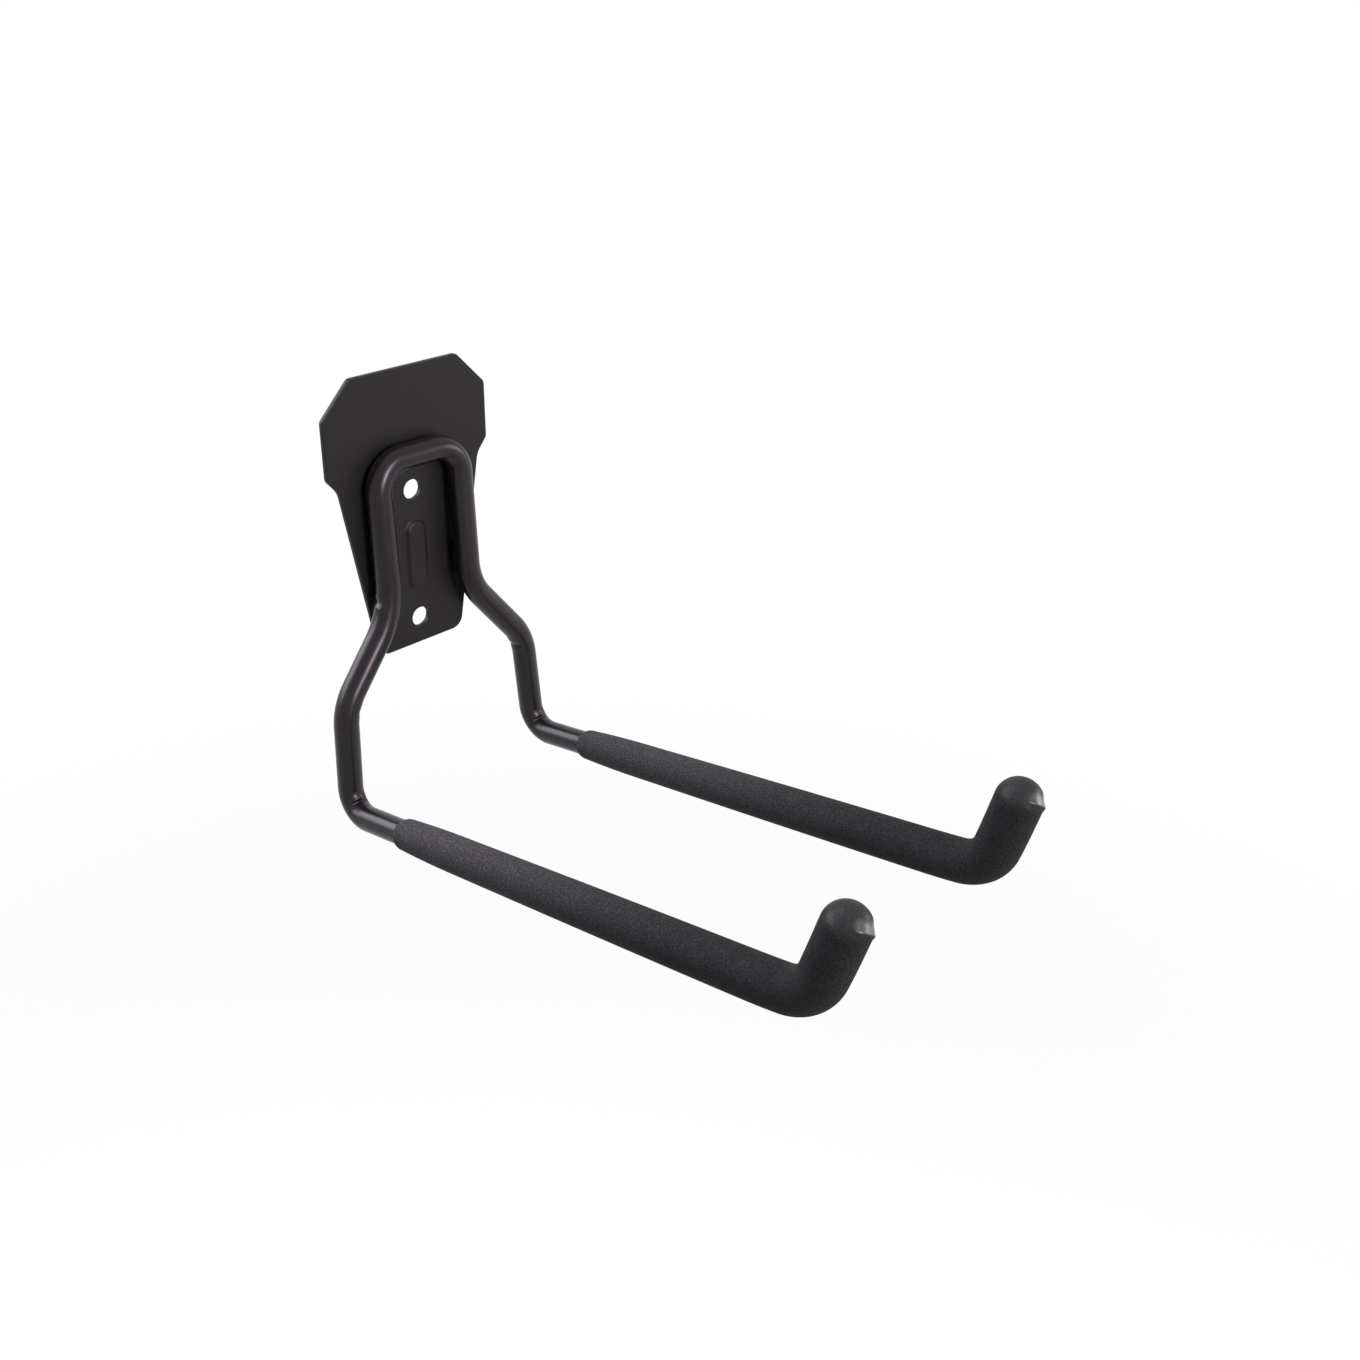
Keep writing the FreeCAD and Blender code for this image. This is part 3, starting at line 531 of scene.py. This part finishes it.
def makePlate(sizes):
    bm = bmesh.new()
    half, points = sizes["outline"], sizes["points"]
    corners = half + [(-x, z) for x, z in reversed(half)]
    radii = sizes["rounding"] + sizes["rounding"][::-1]
    rim = roundCorners(corners, radii, points["corner"])
    sheet, roll, backRoll = sizes["sheet"], sizes["frontRoll"], sizes["backRoll"]
    middle = backRoll * sizes["rollMiddle"]
    profile = [(backRoll, 0.0), (middle, -middle), (0.0, -backRoll), (0.0, -(sheet - roll))]
    for a in np.linspace(0, math.pi / 2, points["frontRoll"])[1:]:
        profile.append((roll * (1 - math.cos(a)), -(sheet - roll) - roll * math.sin(a)))
    rims = [addLoop(bm, insetLoop(rim, d), y) for d, y in profile]
    bridgeLoops(bm, rims)
    frontLoops, backLoops = [rims[-1]], [rims[0]]
    # punched holes, a little rolled in at the front
    holeRoll, r = sizes["holeRoll"], sizes["holeR"]
    wall = []
    for a in np.linspace(0, math.pi / 2, points["holeRoll"]):
        wall.append((r + holeRoll * (1 - math.sin(a)), -(sheet - holeRoll) - holeRoll * math.cos(a)))
    wall += [(r, -backRoll), (r + middle, -middle), (r + backRoll, 0.0)]
    for z in sizes["holes"]:
        rings = [addLoop(bm, circleLoop(x, z, points["hole"]), y) for x, y in wall]
        bridgeLoops(bm, rings)
        frontLoops.append(rings[0])
        backLoops.append(rings[-1])
    front, back = (0, -1, 0), (0, 1, 0)
    frontLoops.append(pressSlot(bm, sizes, sizes["rib"], -sheet, front))
    backLoops.append(pressSlot(bm, sizes, sizes["recess"], 0.0, back))
    fillBetween(bm, frontLoops, front)
    fillBetween(bm, backLoops, back)
    bmesh.ops.recalc_face_normals(bm, faces=bm.faces)
    mesh = bpy.data.meshes.new("wallPlate")
    bm.to_mesh(mesh)
    bm.free()
    piece = showMesh("wallPlate", mesh, plateCoat)
    even = piece.modifiers.new("flatFaces", "WEIGHTED_NORMAL")
    even.weight = sizes["normalWeight"]
    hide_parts("wall_plate")
    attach(piece, "root")


makePlate(plate)
print("plate made")


# bent tube, with the pinches that its tight bends left on their inner sides, in mm
tube = {
    "r": 5.0,
    "around": 96,
    "steps": {"run": 2.0, "bend": 0.3, "hidden": 9.0},
    # at is a share of the bend, from the plate on; round runs from 0 at its sides to 1 at its inner side
    "pinches": {
        "flare": {"at": 0.36, "deep": 0.75, "before": 2.2, "after": 2.2, "round": 0.35, "swell": 0.12},
        "knee": {"at": 0.54, "deep": 0.55, "before": 2.4, "after": 2.4, "round": 0.45, "swell": 0.08},
        "heel": {"at": 0.47, "deep": 1.15, "before": 1.8, "after": 5.5, "round": 0.30, "swell": 0.06},
    },
    "leftOnly": ("flare",),                 # the right flare came out clean
    "pinchCurve": 1.4,
    "swellAt": 1.3,                         # in lengths of the pinch
    "swellWidth": 0.5,
    "flatten": 0.03,                        # a bend makes the tube a little oval
    "flattenLevel": 0.35,                   # the lower, the more it narrows and the less it widens
    # each bead starts in the sheet, at plateY, and ends in the leg, at legSide from its middle line
    "welds": {"high": -6.4, "long": 14.0, "wide": 3.4, "ripple": 0.16, "pitch": 1.7, "waist": 0.35,
              "plateY": -1.9, "legSide": 4.6, "endCurve": 6, "endLeast": 0.02, "rings": 41, "across": 7},
}


def weldBead(bead, x):
    # fills the gap between leg and plate; waisted across, rippled along
    top, flare = hookAt["top"], hookAt["flare"]
    lean = (flare[1] - top[1]) / (flare[2] - top[2])
    rings = []
    for k in np.linspace(-1, 1, bead["rings"]):
        z = bead["high"] + k * bead["long"] / 2
        back, leg = bead["plateY"], top[1] + lean * (z - top[2]) + bead["legSide"]
        end = math.sqrt(max(bead["endLeast"], 1 - abs(k) ** bead["endCurve"]))
        half = (bead["wide"] / 2 + bead["ripple"] * math.cos(2 * math.pi * z / bead["pitch"])) * end
        across = []
        for t in np.linspace(0, 1, bead["across"]):
            across.append((half * (1 - bead["waist"] * math.sin(math.pi * t)), back + (leg - back) * t))
        loop = across + [(-a, y) for a, y in reversed(across)]
        rings.append([(x + a, y, z) for a, y in loop])
    return np.array(rings).reshape(-1, 3), cappedFaces(len(rings), len(rings[0]))


def pinchDepth(sizes, pinch, length, outward, toward):
    # a valley across the bend's inner side, and a low swell beside it
    gap = (outward - pinch["at"]) * length
    gap = np.where(gap < 0, -gap / pinch["before"], gap / pinch["after"])
    valley = pinch["deep"] * np.clip(1 - gap, 0, 1) ** sizes["pinchCurve"]
    swell = pinch["swell"] * np.exp(-((gap - sizes["swellAt"]) / sizes["swellWidth"]) ** 2)
    return (valley - swell)[:, None] * smoothStep(toward, pinch["round"], 1.0)


def makeTube(sizes):
    right = [hookAt[k] for k in cornerOrder]
    corners = [mirrored(p) for p in reversed(right)] + right
    names = [k for k in reversed(cornerOrder) if k != "tip"]
    rightRadii = {**hook["radii"], **hook["rightRadii"]}
    radii = [hook["radii"][k] for k in names] + [rightRadii[k] for k in reversed(names)]
    parts = bentRoute(corners, radii)
    # the tips and end bends lie hidden in the sleeves
    hidden = (0, 1, len(parts) - 2, len(parts) - 1)
    steps = [sizes["steps"]["hidden" if i in hidden else part["kind"]] for i, part in enumerate(parts)]
    points, dirs, marks, bends = sampleRoute(parts, steps)
    rays = ringRays(dirs, sizes["around"])
    radius = np.full(rays.shape[:2], sizes["r"])
    for bend, name in zip(bends, names + names[::-1]):
        toward, share = innerSide(bend, marks, rays)
        onRight = bend["s"] > marks[-1] / 2
        if name in sizes["pinches"] and not (onRight and name in sizes["leftOnly"]):
            outward = share if onRight else 1 - share
            radius -= pinchDepth(sizes, sizes["pinches"][name], bend["length"], outward, toward)
        squash = np.sin(np.clip(share, 0, 1) * math.pi) * sizes["flatten"]
        radius += sizes["r"] * squash[:, None] * (sizes["flattenLevel"] - toward ** 2)
    verts = (points[:, None, :] + rays * radius[:, :, None]).reshape(-1, 3) * mm
    faces = cappedFaces(len(points), sizes["around"])
    for x in (-hookAt["top"][0], hookAt["top"][0]):
        extra, links = weldBead(sizes["welds"], x)
        faces += [tuple(k + len(verts) for k in f) for f in links]
        verts = np.concatenate((verts, extra * mm))
    piece = meshObject("hookTube", verts, faces, tubeCoat)
    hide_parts("hook_tube")
    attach(piece, "root")


makeTube(tube)
print("tube made")


# foam sleeves, narrow at the open end and closed over the tip by a full crown, in mm
sleeve = {
    "start": 34.2,                          # from the heel, along the arm
    "bore": 5.0,
    "boreShown": 3.0,                       # depth of the bore's mesh
    "mouthR": 6.05,
    "lip": (2.3, 0.95, 1.6),                # length, drop and curve of the rounded open end
    "mouthLen": 37.6,
    "rootR": 7.1,
    "armR": 7.7,
    "tipR": 7.95,
    "bellyLen": 140.0,
    "bendR": 17.0,
    "thinOut": 0.55,                        # the bend thins its outer side and bunches its inner side
    "bunchIn": 0.35,
    "strainWidth": 0.6,                     # share of the bend
    "crownAt": {"right": 32.6, "left": 30.8},   # crown's middle past the last corner
    # sealed bevel on the crown, the same way round on both sleeves; its sharp rim lies in a tilted plane
    "bevel": {"above": (0.573, 0.202, 0.793), "low": -0.44, "facing": (0.227, -0.974, 0.0),
              "fade": (0.35, 0.82), "out": 0.5, "ramp": 1.5, "rampCurve": 1.5, "slope": 0.42,
              "end": (2.2, 5.6)},
    # the crown's top is sealed a little too
    "crownSeal": {"way": (0.0, -0.27, 0.96), "fade": (1.0, 6.0), "share": 0.28},
    "crownSize": 12.0,                      # farthest from the crown's middle that is sealed
    "crownPoints": 42,
    "around": 180,
    "steps": (0.8, 0.5, 0.5),               # along the arm, the bend and the tip
}


def sleeveGirth(sizes, along):
    # rounded lip, then the opening-out, then a slow swell along the arm
    opening = np.clip(1 - along / sizes["mouthLen"], 0, 1)
    swell = np.sin(np.clip((along - sizes["mouthLen"]) / sizes["bellyLen"], 0, 1) * math.pi / 2)
    lipLen, lipDrop, lipCurve = sizes["lip"]
    lip = lipDrop * np.clip(1 - along / lipLen, 0, 1) ** lipCurve
    mouth = sizes["rootR"] - (sizes["rootR"] - sizes["mouthR"]) * opening ** 2
    return mouth + (sizes["armR"] - sizes["rootR"]) * swell - lip


def crownRings(sizes, centre, up, rays):
    rings = []
    for a in np.linspace(0, math.pi / 2, sizes["crownPoints"])[1:-1]:
        rings.append(centre + up * sizes["tipR"] * math.sin(a) + rays * sizes["tipR"] * math.cos(a))
    return rings


def bevelCrown(sizes, verts, centre, side):
    # presses the bevel into the points near the crown; its lower rim stands out a little
    bevel, turn = sizes["bevel"], np.array((-1.0 if side == "left" else 1.0, 1.0, 1.0))
    above, facing = np.array(bevel["above"]) * turn, np.array(bevel["facing"]) * turn
    rel = verts - centre
    high = rel @ above - bevel["low"]
    flat = rel - np.outer(rel @ above, above)
    far = np.linalg.norm(flat, axis=1)
    size = np.linalg.norm(rel, axis=1)
    onCrown = size < sizes["crownSize"]
    share = smoothStep(rel @ facing / np.maximum(size, 0.1), *bevel["fade"]) * onCrown
    rim = bevel["out"] * np.clip(1 + high / bevel["ramp"], 0, 1) ** bevel["rampCurve"]
    fade = 1 - smoothStep(high, *bevel["end"])
    press = (sizes["tipR"] + bevel["out"] - bevel["slope"] * high - far) * fade
    move = np.where(high <= 0, rim, press) * share
    sealed = np.where(high > 0, share * fade, 0.0)
    seal = sizes["crownSeal"]
    crown = seal["share"] * smoothStep(rel @ np.array(seal["way"]), *seal["fade"]) * onCrown
    pressed = verts + flat / np.maximum(far, 0.1)[:, None] * move[:, None]
    return pressed, np.maximum(sealed, crown)


def markPoints(mesh, name, values):
    mark = mesh.attributes.new(name, "FLOAT", "POINT")
    mark.data.foreach_set("value", np.asarray(values, dtype=np.float32))


def makeSleeve(name, node, side, sizes):
    heel, bend, tip = (hookAt[k] for k in ("heel", "bend", "tip"))
    start = heel + unit(bend - heel) * sizes["start"]
    crown = bend + unit(tip - bend) * sizes["crownAt"][side]
    parts = bentRoute([start, bend, crown], [sizes["bendR"]])
    points, dirs, marks, bends = sampleRoute(parts, sizes["steps"])
    around, curve = sizes["around"], bends[0]
    rays = ringRays(dirs, around)
    girth = sleeveGirth(sizes, marks)
    girth += (sizes["tipR"] - sizes["armR"]) * smoothStep(marks, curve["s"], curve["s"] + curve["length"])
    toward, share = innerSide(curve, marks, rays)
    strain = np.exp(-((share - 0.5) / sizes["strainWidth"]) ** 2)[:, None]
    bunched = sizes["bunchIn"] * smoothStep(toward, 0.0, 1.0)
    thinned = sizes["thinOut"] * smoothStep(-toward, 0.0, 1.0)
    radius = girth[:, None] + strain * (bunched - thinned)
    rings = [points[i] + rays[i] * radius[i][:, None] for i in range(len(points))]
    inner = [points[0] + dirs[0] * d + rays[0] * sizes["bore"] for d in (sizes["boreShown"], 0.0)]
    caps = crownRings(sizes, points[-1], dirs[-1], rays[-1])
    allRings = inner + rings + caps
    verts = np.concatenate(allRings + [(points[-1] + dirs[-1] * sizes["tipR"])[None, :]])
    verts, sealed = bevelCrown(sizes, verts, points[-1], side)
    faces = ringFaces(len(allRings), around)
    last = (len(allRings) - 1) * around
    faces += [(last + j, last + (j + 1) % around, len(verts) - 1) for j in range(around)]
    if side == "left":
        verts = verts * np.array((-1.0, 1.0, 1.0))
        faces = [tuple(reversed(f)) for f in faces]
    piece = meshObject(name, verts * mm, faces, sleeveFoam)
    markPoints(piece.data, "sealed", sealed)
    # how far along the sleeve each ring lies, which the material turns into painted shade towards the tip
    reach = np.concatenate((np.zeros(len(inner)), marks / marks[-1], np.ones(len(caps))))
    markPoints(piece.data, "reach", np.append(np.repeat(reach, around), 1.0))
    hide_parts(node)
    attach(piece, "root")


makeSleeve("sleeveRight", "sleeve_right", "right", sleeve)
makeSleeve("sleeveLeft", "sleeve_left", "left", sleeve)
print("sleeves made")


# pale floor and soft studio light, in m
studio = {
    "floorZ": -0.62,
    "floorSize": 6.0,
    "floorColor": (0.64, 0.64, 0.64, 1),
    "floorRoughness": 0.9,
    "worldLight": 0.10,
    "white": (1, 1, 1, 1),
    "shadowReach": (0.35, 1.1),             # where the floor turns from shaded to plain white
    "shadowDepth": 0.20,
    "aim": (0.0, -0.1, -0.02),
    # direction round and up from the front, in degrees
    "lamps": {
        "backLeft": {"round": -146, "up": 24, "far": 1.3, "size": (1.3, 0.62),
                     "watts": 17.5, "tint": (0.91, 0.93, 1.0)},
        "frontTall": {"round": -5, "up": 15, "far": 1.3, "size": (0.36, 0.6),
                      "watts": 20.0, "tint": (1.0, 0.96, 0.97)},
        "frontHigh": {"round": 8, "up": 29, "far": 1.3, "size": (0.45, 0.16),
                      "watts": 3.5, "tint": (1.0, 0.97, 0.98)},
        "lowRight": {"round": 50, "up": -18, "far": 1.0, "size": (1.5, 0.75),
                     "watts": 1.1, "tint": (1.0, 0.94, 0.96)},
        "rightSoft": {"round": 56, "up": 9, "far": 1.3, "size": (0.65, 0.35),
                      "watts": 5.2, "tint": (1.0, 0.98, 0.98)},
        "topSoft": {"round": -166, "up": 68, "far": 0.6, "size": (0.45, 0.45),
                    "watts": 11.0, "tint": (1.0, 1.0, 1.0)},
    },
    "unreflected": ("topSoft",),            # lights the foam from above without a highlight of its own
}


def seenRays(tree):
    # what the camera sees, straight, in a reflection or through something
    ray = addNode(tree, "ShaderNodeLightPath").outputs
    direct = mathNode(tree, "MAXIMUM", ray["Is Camera Ray"], ray["Is Glossy Ray"])
    return mathNode(tree, "MAXIMUM", direct, ray["Is Transmission Ray"])


def makeFloor(plan):
    mesh = bpy.data.meshes.new("paleFloor")
    half = plan["floorSize"] / 2
    corners = [(-half, -half, 0), (half, -half, 0), (half, half, 0), (-half, half, 0)]
    mesh.from_pydata(corners, [], [(0, 1, 2, 3)])
    floor = bpy.data.objects.new("paleFloor", mesh)
    floor.location = (0, 0, plan["floorZ"])
    scene.collection.objects.link(floor)
    material, tree, shader = newMaterial("floorWhite")
    shader.inputs["Base Color"].default_value = plan["floorColor"]
    shader.inputs["Roughness"].default_value = plan["floorRoughness"]
    # near the object the floor keeps part of its own shading, and so the shadow
    place = addNode(tree, "ShaderNodeTexCoord").outputs["Object"]
    reach = addNode(tree, "ShaderNodeVectorMath", operation="LENGTH", Vector=place).outputs["Value"]
    fade = mapRange(tree, reach, plan["shadowReach"], (1 - plan["shadowDepth"], 1.0), "SMOOTHSTEP")
    share = mathNode(tree, "MULTIPLY", fade, seenRays(tree))
    glow = addNode(tree, "ShaderNodeEmission", Color=plan["white"], Strength=1.0)
    shown = mixShaders(tree, share, shader.outputs[0], glow.outputs[0])
    tree.links.new(shown, tree.nodes["Material Output"].inputs["Surface"])
    mesh.materials.append(material)


def makeWorld(plan):
    world = bpy.data.worlds.new("studioWorld")
    world.use_nodes = True
    scene.world = world
    tree = world.node_tree
    soft = tree.nodes["Background"]
    soft.inputs["Color"].default_value = plan["white"]
    soft.inputs["Strength"].default_value = plan["worldLight"]
    backdrop = addNode(tree, "ShaderNodeBackground", Color=plan["white"], Strength=1.0)
    shown = mixShaders(tree, seenRays(tree), soft.outputs[0], backdrop.outputs[0])
    tree.links.new(shown, tree.nodes["World Output"].inputs["Surface"])


def makeLamps(plan):
    for name, lamp in plan["lamps"].items():
        data = bpy.data.lights.new(name, "AREA")
        data.shape = "RECTANGLE"
        data.size, data.size_y = lamp["size"]
        data.energy = lamp["watts"]
        data.color = lamp["tint"]
        light = bpy.data.objects.new(name, data)
        away = directionTo(lamp["round"], lamp["up"])
        light.location = Vector(plan["aim"]) + away * lamp["far"]
        light.visible_camera = False
        light.visible_glossy = name not in plan["unreflected"]
        light.rotation_mode = "QUATERNION"
        light.rotation_quaternion = (-away).to_track_quat("-Z", "Y")
        scene.collection.objects.link(light)


makeFloor(studio)
makeWorld(studio)
makeLamps(studio)
print("studio made")
